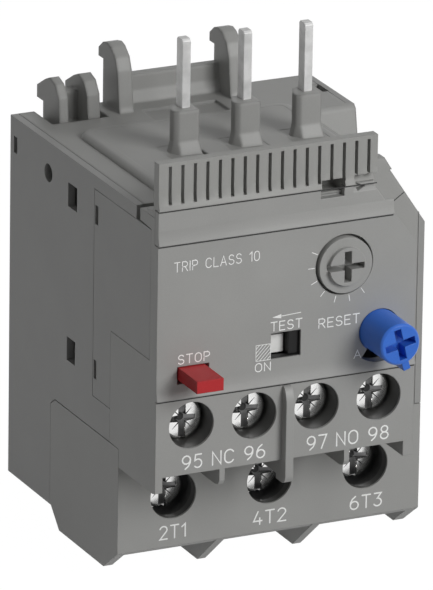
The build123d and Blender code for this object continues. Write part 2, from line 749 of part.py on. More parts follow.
# Contact pins: flat bars with a rounded tip and a welded foot
for n, x in enumerate(pin_x):
    with BuildPart() as contact_pin:
        side_profile(
            [
                (PIN_Y - PIN_DEEP / 2, PIN_FOOT),
                (PIN_Y - PIN_DEEP / 2, PIN_TOP - 0.3),
                (PIN_Y - PIN_DEEP / 2 + 0.3, PIN_TOP),
                (PIN_Y + PIN_DEEP / 2 - 0.3, PIN_TOP),
                (PIN_Y + PIN_DEEP / 2, PIN_TOP - 0.3),
                (PIN_Y + PIN_DEEP / 2, TOP - 4.0),
                (PIN_Y + 1.6, TOP - 4.0),
                (PIN_Y + 1.6, PIN_FOOT),
            ],
            x - PIN_WIDE / 2,
            x + PIN_WIDE / 2,
        )
        lead = strip_x[n]
        block(min(x, lead) - 0.5, max(x, lead) + 0.5, PIN_Y + 0.6, PIN_Y + 1.6, PIN_FOOT - 1.0, PIN_FOOT + 0.5)
        block(lead - 0.7, lead + 0.7, PIN_Y + 0.6, FRONT + 29.3, PIN_FOOT - 1.8, PIN_FOOT - 0.8)
    contact_pin.part.label = f"contact_pin_{n + 1}"
    export_step(contact_pin.part, f"parts/contact_pin_{n + 1}.step")

# Bimetal strips with the insulated heater winding around them
STRIP_Y = FRONT + 32.0
for n, mid in enumerate(strip_x):
    with BuildPart() as bimetal:
        block(mid - 0.4, mid + 0.4, STRIP_Y - 2.6, STRIP_Y + 2.6, 18.4, 43.6)
        block(mid - 1.0, mid + 1.0, STRIP_Y - 2.6, STRIP_Y + 2.6, 18.4, 20.6)
    bimetal.part.label = f"bimetal_{n + 1}"
    export_step(bimetal.part, f"parts/bimetal_{n + 1}.step")
    with BuildPart() as heater:
        block(mid - 1.1, mid + 1.1, STRIP_Y - 3.3, STRIP_Y + 3.3, 22.0, 37.6)
        for i in range(7):
            block(mid - 1.6, mid + 1.6, STRIP_Y - 3.8, STRIP_Y + 3.8, 22.6 + 2.1 * i, 24.0 + 2.1 * i)
        block(mid - 0.7, mid + 0.7, STRIP_Y - 3.3, STRIP_Y - 2.65, 37.5, 39.15)
        block(mid - 0.42, mid + 0.42, STRIP_Y - 2.65, STRIP_Y + 2.65, 20, 42, Mode.SUBTRACT)
    heater.part.label = f"heater_winding_{n + 1}"
    export_step(heater.part, f"parts/heater_winding_{n + 1}.step")

# Busbars from the clamp cages up to the bimetal feet
for n, x in enumerate(main_x):
    mid = strip_x[n]
    with BuildPart() as busbar:
        block(x - BUS_HALF, x + BUS_HALF, BUS_Y, BUS_Y + BUS_THICK, MAIN_Z - 4.5, 17.4)
        block(x - BUS_HALF, x + BUS_HALF, BUS_Y, STRIP_Y + 2.6, 16.5, 17.4)
        block(mid - 1.0, mid + 1.0, STRIP_Y - 2.6, STRIP_Y + 2.6, 17.3, 18.35)
    busbar.part.label = f"busbar_{n + 1}"
    export_step(busbar.part, f"parts/busbar_{n + 1}.step")

# Main clamping screws and cages
MAIN_HEAD_Y = BLOCK + 3.5
CROSS = 0.48
for n, x in enumerate(main_x):
    with BuildPart() as main_screw:
        rod_y(x, MAIN_Z, MAIN_HEAD_R, MAIN_HEAD_Y, MAIN_HEAD_Y + 2.1)
        rod_y(x, MAIN_Z, MAIN_SHAFT_R, MAIN_HEAD_Y + 2.0, BUS_Y - 0.03)
        for wide, tall in ((CROSS, 4.0), (2.0, CROSS)):
            block(
                x - wide,
                x + wide,
                MAIN_HEAD_Y - 1,
                MAIN_HEAD_Y + 1.2,
                MAIN_Z - tall,
                MAIN_Z + tall,
                Mode.SUBTRACT,
            )
    main_screw.part.label = f"main_screw_{n + 1}"
    export_step(main_screw.part, f"parts/main_screw_{n + 1}.step")
    with BuildPart() as main_cage:
        block(x - MAIN_CAGE, x + MAIN_CAGE, FRONT + 18.5, FRONT + 27.4, MAIN_Z - 3.95, MAIN_Z + 3.75)
        block(x - MAIN_CAGE + 0.9, x + MAIN_CAGE - 0.9, FRONT + 20.0, FRONT + 26.2, 2, 12, Mode.SUBTRACT)
        rod_y(x, MAIN_Z, MAIN_SHAFT_R + RUN, FRONT + 18, FRONT + 21, Mode.SUBTRACT)
    main_cage.part.label = f"main_cage_{n + 1}"
    export_step(main_cage.part, f"parts/main_cage_{n + 1}.step")

# Auxiliary screws and cages
AUX_HEAD_Y = FRONT + 2.9
for n, x in enumerate(aux_x):
    with BuildPart() as aux_screw:
        rod_y(x, AUX_Z, AUX_HEAD_R, AUX_HEAD_Y, AUX_HEAD_Y + 1.6)
        rod_y(x, AUX_Z, AUX_SHAFT_R, AUX_HEAD_Y + 1.5, TAB_Y - 0.03)
        for wide, tall in ((CROSS, 4.0), (1.9, CROSS)):
            block(
                x - wide,
                x + wide,
                AUX_HEAD_Y - 1,
                AUX_HEAD_Y + 1.0,
                AUX_Z - tall,
                AUX_Z + tall,
                Mode.SUBTRACT,
            )
    aux_screw.part.label = f"aux_screw_{n + 1}"
    export_step(aux_screw.part, f"parts/aux_screw_{n + 1}.step")
    with BuildPart() as aux_cage:
        block(x - AUX_CAGE, x + AUX_CAGE, FRONT + 5.9, FRONT + 11.8, AUX_Z - 2.6, AUX_Z + 2.6)
        block(x - AUX_CAGE + 0.65, x + AUX_CAGE - 0.65, FRONT + 6.8, FRONT + 11.1, 18, 25, Mode.SUBTRACT)
        rod_y(x, AUX_Z, AUX_SHAFT_R + RUN, FRONT + 5, FRONT + 8, Mode.SUBTRACT)
    aux_cage.part.label = f"aux_cage_{n + 1}"
    export_step(aux_cage.part, f"parts/aux_cage_{n + 1}.step")

# Terminal tabs 95, 96, 97 and 98 with their contact springs' seats
names = ["95", "96", "97", "98"]
for n, x in enumerate(aux_x):
    with BuildPart() as tab:
        top = 26.6 if n in (0, 3) else 25.6
        block(x - AUX_TAB, x + AUX_TAB, TAB_Y, TAB_Y + TAB_THICK, 17.0, top)
        if n == 0:
            block(x - AUX_TAB, OPEN_X + 0.6, TAB_Y, TAB_Y + TAB_THICK, 25.8, 26.6)
        if n == 1:
            block(OPEN_X + 1.2, OPEN_X + 2.0, TAB_Y, TAB_Y + TAB_THICK, 25.2, CONTACT_Z + 1.0)
            rod_x(TAB_Y + 0.4, CONTACT_Z, 0.85, OPEN_X + 0.28, OPEN_X + 1.3)
        if n == 2:
            block(CLOSE_X - 3.7, CLOSE_X - 2.9, TAB_Y, TAB_Y + TAB_THICK, 25.2, CONTACT_Z + 1.0)
            rod_x(TAB_Y + 0.4, CONTACT_Z, 0.85, CLOSE_X - 3.0, CLOSE_X - 1.9)
        if n == 3:
            block(CLOSE_X - 0.6, x + AUX_TAB, TAB_Y, TAB_Y + TAB_THICK, 25.8, 26.6)
    tab.part.label = f"tab_{names[n]}"
    export_step(tab.part, f"parts/tab_{names[n]}.step")

# Moving contact arms that the test slide swings
ARM_PIVOT_Z = 27.2
for name, x in (("opening_arm", OPEN_X), ("closing_arm", CLOSE_X)):
    with BuildPart() as arm:
        block(x - 0.2, x + 0.2, TAB_Y - 0.3, TAB_Y + 1.1, ARM_PIVOT_Z, ARM_TOP)
        rod_y(x, ARM_PIVOT_Z, 0.55, TAB_Y - 0.3, TAB_Y + 1.1)
        rod_x(TAB_Y + 0.4, CONTACT_Z, 0.85, x - 0.45 if name == "closing_arm" else x + 0.1, x + 0.25)
    arm.part.label = name
    export_step(arm.part, f"parts/{name}.step")

# Test slide with its grip bar, finger bar and white flag
with BuildPart() as test_slide:
    block(TEST_X - 3.8, TEST_X + 2.6, FRONT + 2.25, FRONT + 3.0, TEST_Z - 2.1, TEST_Z + 3.0)
    block(TEST_X + 0.85, TEST_X + 2.25, FRONT + 0.5, FRONT + 2.3, TEST_Z - 1.6, TEST_Z + 1.6)
    block(TEST_X - 1.2, TEST_X + 1.8, FRONT + 2.9, FRONT + 7.5, TEST_Z + 2.0, TEST_Z + 3.0)
    block(OPEN_X + 0.3, CLOSE_X + 1.3, FRONT + 6.0, FRONT + 7.5, RAIL_Z - 2.0, RAIL_Z - 0.2)
    for x in (OPEN_X + 0.3, CLOSE_X + 0.3):
        block(x, x + 1.0, FRONT + 7.4, FRONT + 10.0, RAIL_Z - 2.0, RAIL_Z - 0.2)
test_slide.part.label = "test_slide"
export_step(test_slide.part, "parts/test_slide.step")

with BuildPart() as test_flag:
    block(TEST_X - 3.7, TEST_X + 0.75, FRONT + 1.7, FRONT + 2.22, TEST_Z - 1.6, TEST_Z + 2.2)
test_flag.part.label = "test_flag"
export_step(test_flag.part, "parts/test_flag.step")

# Current dial: slotted knob, retaining flange, shaft and eccentric cam
with BuildPart() as current_dial:
    rod_y(DIAL_X, DIAL_Z, DIAL_R, FRONT - 0.5, FRONT + 1.8)
    rod_y(DIAL_X, DIAL_Z, DIAL_GRIP_R, FRONT - 1.15, FRONT - 0.4)
    rod_y(DIAL_X, DIAL_Z, DIAL_WELL_R + 0.45, FRONT + 1.7, FRONT + 2.6)
    rod_y(DIAL_X, DIAL_Z, 2.0, FRONT + 2.5, FRONT + 15.0)
    rod_y(DIAL_X + 0.5, DIAL_Z, 2.4, FRONT + 14.0, FRONT + 16.6)
    block(DIAL_X - 0.5, DIAL_X + 0.5, FRONT - 2, FRONT + 0.7, DIAL_Z - 2.1, DIAL_Z + 2.1, Mode.SUBTRACT)
    block(DIAL_X - 2.75, DIAL_X + 2.35, FRONT - 2, FRONT + 0.7, DIAL_Z - 0.42, DIAL_Z + 0.42, Mode.SUBTRACT)
current_dial.part.label = "current_dial"
export_step(current_dial.part, "parts/current_dial.step")

# Compensation strip that the dial's cam adjusts
with BuildPart() as compensation_strip:
    block(DIAL_X - 2.9, DIAL_X - 2.5, FRONT + 14.4, FRONT + 18.4, 27.0, 44.0)
    block(DIAL_X - 4.2, DIAL_X - 2.5, FRONT + 14.4, FRONT + 19.6, 25.0, 27.2)
compensation_strip.part.label = "compensation_strip"
export_step(compensation_strip.part, "parts/compensation_strip.step")

# Reset plunger and spring
with BuildPart() as reset_plunger:
    rod_y(KNOB_X, KNOB_Z, 1.4, FRONT - 3.0, PLATE_Y + 3.6)
    rod_y(KNOB_X, KNOB_Z, 2.7, FRONT + 3.35, FRONT + 4.3)
reset_plunger.part.label = "reset_plunger"
export_step(reset_plunger.part, "parts/reset_plunger.step")

# Reset knob: sleeve with a pointer, turning on the plunger
with BuildPart() as reset_knob:
    rod_y(KNOB_X, KNOB_Z, KNOB_R, FRONT - KNOB_PROUD, FRONT + 2.3)
    chamfer(reset_knob.edges().filter_by(GeomType.CIRCLE).sort_by(Axis.Y)[0], 0.25)
    rod_y(KNOB_X, KNOB_Z, 3.3, FRONT + 2.25, FRONT + 3.3)
    with BuildSketch(Plane.XZ.offset(-FRONT + 2.9)) as pointer:
        with Locations(Location((KNOB_X, KNOB_Z), -73)):
            with Locations((3.0, 0)):
                Rectangle(1.5, 1.0)
    extrude(pointer.sketch, amount=KNOB_PROUD - 3.0)
    with BuildSketch(Plane.XZ.offset(-FRONT + KNOB_PROUD - 1.8)) as cross:
        with Locations(Location((KNOB_X, KNOB_Z), 13)):
            Rectangle(4.3, 1.0)
            Rectangle(1.0, 4.3)
    extrude(cross.sketch, amount=4, mode=Mode.SUBTRACT)
    rod_y(KNOB_X, KNOB_Z, 1.4 + RUN, FRONT - 3.1, FRONT + 4, Mode.SUBTRACT)
reset_knob.part.label = "reset_knob"
export_step(reset_knob.part, "parts/reset_knob.step")

# Stop button: flat key, retaining flange and rod
with BuildPart() as stop_button:
    block(
        STOP_X - STOP_WIDE / 2,
        STOP_X + STOP_WIDE / 2,
        FRONT - STOP_PROUD,
        FRONT + 2.0,
        STOP_Z - STOP_TALL / 2,
        STOP_Z + STOP_TALL / 2,
    )
    block(STOP_X - 2.7, STOP_X + 2.9, FRONT + 1.9, FRONT + 2.9, STOP_Z - 2.2, STOP_Z + 2.0)
    rod_y(STOP_X, STOP_Z, 1.1, FRONT + 2.8, PLATE_Y + 3.4)
stop_button.part.label = "stop_button"
export_step(stop_button.part, "parts/stop_button.step")

# Return springs
for name, x, z, radius, y0 in (
    ("reset_spring", KNOB_X, KNOB_Z, 1.95, FRONT + 4.5),
    ("stop_spring", STOP_X, STOP_Z, 1.65, FRONT + 3.1),
):
    length = PLATE_Y - 1.42 - y0
    with BuildPart() as spring:
        with BuildLine() as coil:
            Helix(pitch=length / 4, height=length, radius=radius, center=(x, y0, z), direction=(0, 1, 0))
        start = coil.line @ 0
        with BuildSketch(Plane(origin=start, x_dir=start - Vector(x, y0, z), z_dir=coil.line % 0)):
            Rectangle(0.4, 0.4)
        sweep(is_frenet=True)
    spring.part.label = name
    export_step(spring.part, f"parts/{name}.step")

# Trip bar carried by the three bimetal tips
with BuildPart() as trip_bar:
    block(-STRIP_PITCH - 5.0, STRIP_PITCH + 1.2, STRIP_Y - 4.4, STRIP_Y + 4.4, BAR_Z, BAR_Z + BAR_THICK)
    block(STRIP_PITCH + 1.1, LEVER_X - 0.8, STRIP_Y + 1.8, STRIP_Y + 4.2, BAR_Z, BAR_Z + BAR_THICK)
    for mid in strip_x:
        block(mid - 1.7, mid + 0.5, STRIP_Y - 2.8, STRIP_Y + 2.8, 41, 45, Mode.SUBTRACT)
trip_bar.part.label = "trip_bar"
export_step(trip_bar.part, "parts/trip_bar.step")

# Trip lever on its cross shaft
with BuildPart() as trip_lever:
    rod_y(LEVER_X, LEVER_Z, 1.0, FRONT + 15.0, FRONT + 36.4)
    block(LEVER_X - 0.7, LEVER_X + 0.5, FRONT + 33.6, FRONT + 36.4, LEVER_Z, LEVER_Z + 7.2)
    block(LEVER_X - 0.4, LEVER_X + 0.6, FRONT + 15.0, FRONT + 17.4, LEVER_Z - 7.0, LEVER_Z)
trip_lever.part.label = "trip_lever"
export_step(trip_lever.part, "parts/trip_lever.step")
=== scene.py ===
import math

import bmesh
import bpy
from mathutils import Matrix, Vector


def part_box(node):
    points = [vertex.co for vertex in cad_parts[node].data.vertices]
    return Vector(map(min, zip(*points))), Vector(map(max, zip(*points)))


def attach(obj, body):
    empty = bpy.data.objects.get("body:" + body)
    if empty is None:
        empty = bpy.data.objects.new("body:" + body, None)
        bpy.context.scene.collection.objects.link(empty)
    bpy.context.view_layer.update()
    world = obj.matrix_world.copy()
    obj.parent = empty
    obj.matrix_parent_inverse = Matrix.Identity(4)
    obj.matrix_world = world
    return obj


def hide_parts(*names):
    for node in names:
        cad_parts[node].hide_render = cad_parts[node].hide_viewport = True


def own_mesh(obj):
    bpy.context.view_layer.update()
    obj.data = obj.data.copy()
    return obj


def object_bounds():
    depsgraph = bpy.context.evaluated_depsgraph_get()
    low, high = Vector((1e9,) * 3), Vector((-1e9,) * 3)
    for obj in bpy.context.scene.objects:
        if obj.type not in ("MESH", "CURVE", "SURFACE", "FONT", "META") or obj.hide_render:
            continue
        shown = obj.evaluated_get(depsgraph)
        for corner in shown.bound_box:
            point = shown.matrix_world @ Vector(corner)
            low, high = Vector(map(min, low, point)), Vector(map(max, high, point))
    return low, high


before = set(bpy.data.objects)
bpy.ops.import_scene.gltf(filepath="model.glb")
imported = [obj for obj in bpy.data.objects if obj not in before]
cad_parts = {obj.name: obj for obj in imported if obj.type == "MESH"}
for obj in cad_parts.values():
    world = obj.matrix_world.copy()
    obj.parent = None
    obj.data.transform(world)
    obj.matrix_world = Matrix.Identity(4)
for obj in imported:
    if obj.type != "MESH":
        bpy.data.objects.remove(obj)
cad_low, cad_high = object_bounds()

# Sizes and places are in millimetres. MM turns them into metres.
MM = 0.001


def box_mm(node):
    """Low and high corner of a CAD piece in millimetres."""
    low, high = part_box(node)
    return [value / MM for value in low], [value / MM for value in high]


def middle_of(node):
    """Middle of a CAD piece seen from the front, as X and Z."""
    low, high = box_mm(node)
    return (low[0] + high[0]) / 2, (low[2] + high[2]) / 2


POLES = (1, 2, 3)
AUXILIARIES = (1, 2, 3, 4)
# faces of the front cover and of the main terminal block, the roof, and the raised panel on it
FRONT = -46.3
BLOCK = box_mm("terminal_block")[0][1]
ROOF = box_mm("left_side_cover")[1][2]
PANEL_RISE = 0.82
DIAL_X, DIAL_Z = 4.72, 40.3


# Materials

GREY = (0.335, 0.335, 0.325)
GREY_SHADE = (0.30, 0.30, 0.29)
# grain is in cells per metre, and a stretch below one draws the streaks out along that axis
HOUSING_GRAIN, BUTTON_GRAIN = 5200, 4200
EVEN, DRAWN = (1, 1, 1), (1, 1, 0.05)


def nodes_of(owner):
    """Empty node tree of a material or a world."""
    owner.use_nodes = True
    tree = owner.node_tree
    tree.nodes.clear()
    return tree


def add(tree, kind, values=None):
    """New shader node with the given values on its inputs."""
    node = tree.nodes.new(kind)
    for socket, value in (values or {}).items():
        node.inputs[socket].default_value = value
    return node


def link(tree, a, out, b, inp):
    tree.links.new(a.outputs[out], b.inputs[inp])


def surface(name, values):
    """New material with its node tree, its shader and a node that gives the object's coordinates."""
    material = bpy.data.materials.new(name)
    tree = nodes_of(material)
    shader = add(tree, "ShaderNodeBsdfPrincipled", values)
    link(tree, shader, "BSDF", add(tree, "ShaderNodeOutputMaterial"), "Surface")
    return material, tree, shader, add(tree, "ShaderNodeTexCoord")


def noise(tree, source, socket, scale, detail):
    """Noise that reads its place from a socket of another node."""
    node = add(tree, "ShaderNodeTexNoise", {"Scale": scale, "Detail": detail})
    link(tree, source, socket, node, "Vector")
    return node


def two_tones(tree, driver, socket, dark, colour, full_at, shader):
    """Base colour that goes from the dark tone to the light one as the driver rises."""
    ramp = add(tree, "ShaderNodeValToRGB")
    low, high = ramp.color_ramp.elements
    low.position = 0.3
    low.color = (*dark, 1)
    high.position = full_at
    high.color = (*colour, 1)
    link(tree, driver, socket, ramp, "Fac")
    link(tree, ramp, "Color", shader, "Base Color")


def uneven_gloss(tree, driver, smoothest, roughest, shader):
    """Roughness that wanders between two limits."""
    gloss = add(tree, "ShaderNodeMapRange", {"To Min": smoothest, "To Max": roughest})
    link(tree, driver, "Fac", gloss, "Value")
    link(tree, gloss, "Result", shader, "Roughness")


def relief(tree, driver, strength, depth, shader):
    """Fine relief of the surface, with its depth in metres."""
    bump = add(tree, "ShaderNodeBump", {"Strength": strength, "Distance": depth})
    link(tree, driver, "Fac", bump, "Height")
    link(tree, bump, "Normal", shader, "Normal")
    return bump


def plastic(name, colour, dark, rough=0.5, grain=BUTTON_GRAIN, bump=0.2, edge=0.16, shine=0.5):
    """Moulded plastic: spark-eroded grain, faint flow clouds, uneven gloss and softened edges."""
    material, tree, shader, coords = surface(name, {"Specular IOR Level": shine})
    clouds = noise(tree, coords, "Object", scale=90, detail=4)
    fine = noise(tree, coords, "Object", scale=grain, detail=3)
    blend = add(tree, "ShaderNodeMix")
    blend.data_type = "FLOAT"
    blend.inputs["Factor"].default_value = 0.35
    link(tree, clouds, "Fac", blend, "A")
    link(tree, fine, "Fac", blend, "B")
    two_tones(tree, blend, "Result", dark, colour, 0.7, shader)
    uneven_gloss(tree, fine, rough - 0.06, rough + 0.06, shader)
    grained = relief(tree, fine, bump, 0.04 * MM, shader)
    if edge:
        round_edge = add(tree, "ShaderNodeBevel", {"Radius": edge * MM})
        round_edge.samples = 4
        link(tree, round_edge, "Normal", grained, "Normal")
    return material


def metal(name, colour, dark, rough, stretch=EVEN, bump=0.2, bare=1.0):
    """Plated or rolled metal with fine drawn streaks and small tarnish clouds."""
    material, tree, shader, coords = surface(name, {"Metallic": bare})
    mapping = add(tree, "ShaderNodeMapping", {"Scale": stretch})
    link(tree, coords, "Object", mapping, "Vector")
    streaks = noise(tree, mapping, "Vector", scale=1400, detail=4)
    clouds = noise(tree, coords, "Object", scale=500, detail=5)
    two_tones(tree, clouds, "Fac", dark, colour, 0.62, shader)
    uneven_gloss(tree, streaks, max(rough - 0.1, 0.05), rough + 0.1, shader)
    relief(tree, streaks, bump, 0.03 * MM, shader)
    return material


def grey(level):
    """Neutral colour."""
    return (level, level, level)


def case_plastic(name, colour, dark, bump=0.25, **look):
    """Grained plastic of the case, and of the painted shade in its seams and wells."""
    return plastic(name, colour, dark, grain=HOUSING_GRAIN, bump=bump, **look)


case_mat = case_plastic("case_plastic", GREY, GREY_SHADE, edge=0.12)
housing_mat = case_plastic("housing_plastic", GREY, GREY_SHADE, edge=0.65)
side_mat = case_plastic("side_plastic", (0.318, 0.318, 0.311), (0.284, 0.284, 0.278), edge=0.06)
comb_mat = case_plastic(
    "comb_plastic", (0.32, 0.32, 0.307), (0.288, 0.288, 0.276), bump=0.22, rough=0.48, edge=0.07
)
# painted shade: near-black colour for the walls of the screw wells
well_shade_mat = case_plastic(
    "painted_well_shade", (0.055, 0.055, 0.052), (0.042, 0.042, 0.04), bump=0.2, rough=0.55, edge=0, shine=0.3
)
shadow_mat = case_plastic("shadow_gap", grey(0.03), grey(0.02), bump=0.1, rough=0.7, edge=0)
black_mat = plastic("inner_black_plastic", grey(0.014), grey(0.008), rough=0.45, shine=0.2)
# painted shade: black for deep holes and recesses
shade_black_mat = plastic("painted_shade_black", grey(0.012), grey(0.007), rough=0.6)
red_mat = plastic(
    "red_plastic", (0.52, 0.04, 0.045), (0.45, 0.032, 0.036), rough=0.2, bump=0.05, edge=0.2, shine=0.08
)
blue_mat = plastic(
    "blue_plastic", (0.034, 0.165, 0.68), (0.028, 0.143, 0.6), rough=0.32, bump=0.08, shine=0.4
)
white_mat = plastic("white_plastic", (0.85, 0.85, 0.83), (0.78, 0.78, 0.76), rough=0.4, bump=0.1)
print_mat = plastic(
    "white_print", (0.95, 0.95, 0.94), (0.9, 0.9, 0.89), rough=0.6, grain=9000, bump=0.05, edge=0
)
sleeve_mat = plastic("woven_sleeve", (0.72, 0.69, 0.6), (0.5, 0.47, 0.4), rough=0.75, grain=2600, bump=0.8)
pin_mat = metal(
    "tinned_pin", (0.68, 0.68, 0.675), (0.52, 0.52, 0.515), rough=0.55, stretch=DRAWN, bump=0.35, bare=0.45
)
strip_mat = metal("rolled_strip", (0.62, 0.59, 0.54), (0.45, 0.42, 0.38), rough=0.35, stretch=DRAWN)
brass_mat = metal("brass_strip", (0.78, 0.6, 0.3), (0.6, 0.45, 0.22), rough=0.35, stretch=DRAWN)
wire_mat = metal("drawn_wire", grey(0.62), grey(0.45), rough=0.3, bump=0.1)
# painted shade: darker metal for the floors of the screw slots and cross arms
recess_shade_mat = metal("painted_recess_shade", grey(0.2), grey(0.1), rough=0.4)
nickel_mat = metal("nickel_plate", (0.86, 0.86, 0.85), (0.8, 0.8, 0.79), rough=0.2, bump=0.03)
cage_mat = metal("zinc_plate", (0.66, 0.67, 0.68), (0.5, 0.51, 0.52), rough=0.36)


# CAD pieces


def numbered(stem, numbers):
    """Names of a row of CAD pieces."""
    return [f"{stem}_{i}" for i in numbers]


paint = {
    housing_mat: ["rear_housing"],
    case_mat: ["front_cover", "label_carrier", "aux_terminal_block", "terminal_block", "current_dial"],
    comb_mat: ["vent_comb"],
    side_mat: ["left_side_cover", "right_side_cover", "side_insert"],
    black_mat: ["mechanism_plate", "test_slide", "trip_bar", "trip_lever", "reset_plunger"],
    red_mat: ["stop_button"],
    blue_mat: ["reset_knob"],
    white_mat: ["test_flag"],
    pin_mat: numbered("contact_pin", POLES) + numbered("busbar", POLES),
    strip_mat: numbered("bimetal", POLES) + ["compensation_strip"],
    sleeve_mat: numbered("heater_winding", POLES),
    brass_mat: numbered("tab", (95, 96, 97, 98)) + ["opening_arm", "closing_arm"],
    wire_mat: ["reset_spring", "stop_spring"],
    nickel_mat: numbered("main_screw", POLES) + numbered("aux_screw", AUXILIARIES),
    cage_mat: numbered("main_cage", POLES) + numbered("aux_cage", AUXILIARIES),
}
for material, names in paint.items():
    for name in names:
        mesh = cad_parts[name].data
        mesh.materials.clear()
        mesh.materials.append(material)


def round_edges(obj, name, width, segments, method="WEIGHT"):
    """Rounds the edges that carry a bevel weight, or the sharp ones."""
    bevel = obj.modifiers.new(name, "BEVEL")
    bevel.width = width * MM
    bevel.segments = segments
    bevel.limit_method = method
    return bevel


def soften(node, width, segments=2):
    """Rounds the moulded edges of a CAD piece without growing it."""
    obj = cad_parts[node]
    weld = obj.modifiers.new("weld", "WELD")
    weld.merge_threshold = 0.002 * MM
    bevel = round_edges(obj, "edges", width, segments, "ANGLE")
    bevel.angle_limit = math.radians(35)


for name in ("left_side_cover", "side_insert"):
    soften(name, 0.05)
for name in ("vent_comb", "label_carrier"):
    soften(name, 0.06)
for name in ("stop_button", "test_slide"):
    soften(name, 0.22, segments=3)
for name in ("current_dial", "reset_knob"):
    soften(name, 0.1)
for name in numbered("contact_pin", POLES):
    soften(name, 0.15)


# Forms that the pieces share


def arc(x, z, rx, rz, start, end, steps=12):
    """Points along an ellipse from one angle to another, in degrees."""
    angles = [math.radians(start + (end - start) * i / steps) for i in range(steps + 1)]
    return [(x + rx * math.cos(a), z + rz * math.sin(a)) for a in angles]


def piece_from(bm, name, body, materials, smooth=True):
    """Turns a mesh in the making into a piece that rides on a body."""
    bmesh.ops.recalc_face_normals(bm, faces=bm.faces)
    mesh = bpy.data.meshes.new(name)
    bm.to_mesh(mesh)
    bm.free()
    for material in materials:
        mesh.materials.append(material)
    obj = bpy.data.objects.new(name, mesh)
    bpy.context.scene.collection.objects.link(obj)
    if smooth:
        mesh.shade_smooth()
        mesh.set_sharp_from_angle(angle=math.radians(38))
    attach(obj, body)
    return obj


def skin(bm, rings, material=0, closed=False):
    """Faces from each ring of corners to the next, with flat ends or back to the first ring."""
    if not closed:
        for end in (rings[0][::-1], rings[-1]):
            bm.faces.new(end).material_index = material
    pairs = list(zip(rings, rings[1:])) + ([(rings[-1], rings[0])] if closed else [])
    for a, b in pairs:
        for i in range(len(a)):
            j = (i + 1) % len(a)
            bm.faces.new((a[i], a[j], b[j], b[i])).material_index = material


def lathe(bm, profile, x, z, material=0, steps=48, closed=False):
    """Turned surface about an axis along Y, from pairs of Y and radius."""
    rings = []
    for y, radius in profile:
        circle = arc(x, z, radius, radius, 0, 360, steps)[:-1]
        rings.append([bm.verts.new((px * MM, y * MM, pz * MM)) for px, pz in circle])
    skin(bm, rings, material, closed)


def weight_layer(bm):
    layers = bm.edges.layers.float
    return layers.get("bevel_weight_edge") or layers.new("bevel_weight_edge")


def prism(bm, outline, y0, y1, material=0, weights=None):
    """Straight prism along Y from an outline in X and Z, with bevel weights on its front edges."""
    layer = weight_layer(bm)
    front = [bm.verts.new((x * MM, y0 * MM, z * MM)) for x, z in outline]
    back = [bm.verts.new((x * MM, y1 * MM, z * MM)) for x, z in outline]
    skin(bm, [front, back], material)
    for i, weight in enumerate(weights or ()):
        bm.edges.get((front[i], front[(i + 1) % len(front)]))[layer] = weight


def rectangle(x0, x1, z0, z1):
    return [(x0, z0), (x1, z0), (x1, z1), (x0, z1)]


# Printed legends and thin lines

LEGEND_LIFT = 0.03
HAIR, THIN, BOLD = 0.06, 0.07, 0.1


def ribbon(bm, line, y, half):
    """Faces of a flat line in X and Z, with mitred corners and round ends."""
    points = [Vector(point) for point in line]
    looped = (points[0] - points[-1]).length < 1e-6
    if looped:
        points = points[:-1]
    last = len(points) - 1
    rails, faces = [], []
    for i, point in enumerate(points):
        ways = []
        if i > 0 or looped:
            ways.append((point - points[i - 1]).normalized())
        if i < last or looped:
            ways.append((points[(i + 1) % len(points)] - point).normalized())
        way = sum(ways, Vector((0, 0))).normalized()
        aside = Vector((-way.y, way.x))
        reach = half / max(aside.dot(Vector((-ways[0].y, ways[0].x))), 0.45)
        sides = (point + aside * reach, point - aside * reach)
        rails.append([bm.verts.new((q.x * MM, y * MM, q.y * MM)) for q in sides])
        if len(ways) == 1:
            sign = 1 if i == last else -1
            fan = []
            for k in range(1, 5):
                turn = math.pi * k / 5
                q = point + (aside * math.cos(turn) + way * math.sin(turn)) * half * sign
                fan.append(bm.verts.new((q.x * MM, y * MM, q.y * MM)))
            start, end = rails[-1][::sign]
            faces.append(bm.faces.new([start, *fan, end]))
    pairs = list(zip(rails, rails[1:])) + ([(rails[-1], rails[0])] if looped else [])
    return faces + [bm.faces.new((a[0], a[1], b[1], b[0])) for a, b in pairs]


def printed(name, lines, y, half, patches=(), material=print_mat):
    """Thin print on a front face, from lines and filled patches in X and Z."""
    thick, step = 0.02, 0.002
    bm = bmesh.new()
    faces = []
    for patch in patches:
        corners = [bm.verts.new((x * MM, (y - LEGEND_LIFT) * MM, z * MM)) for x, z in patch]
        faces.append(bm.faces.new(corners))
    for i, line in enumerate(lines):
        faces += ribbon(bm, line, y - LEGEND_LIFT - step * (i % 4), half)
    grown = bmesh.ops.extrude_face_region(bm, geom=faces)
    for vert in grown["geom"]:
        if isinstance(vert, bmesh.types.BMVert):
            vert.co.y += thick * MM
    piece_from(bm, name, "case", (material,), smooth=False)


def long_round(width, bow):
    """Closed stroke with straight sides, for the letter O and the nought."""
    middle, rx = width / 2, width / 2 - 0.01
    upper = arc(middle, 1 - bow, rx, bow, 0, 180)
    lower = arc(middle, bow, rx, bow, 180, 360)
    return upper + lower + upper[:1]


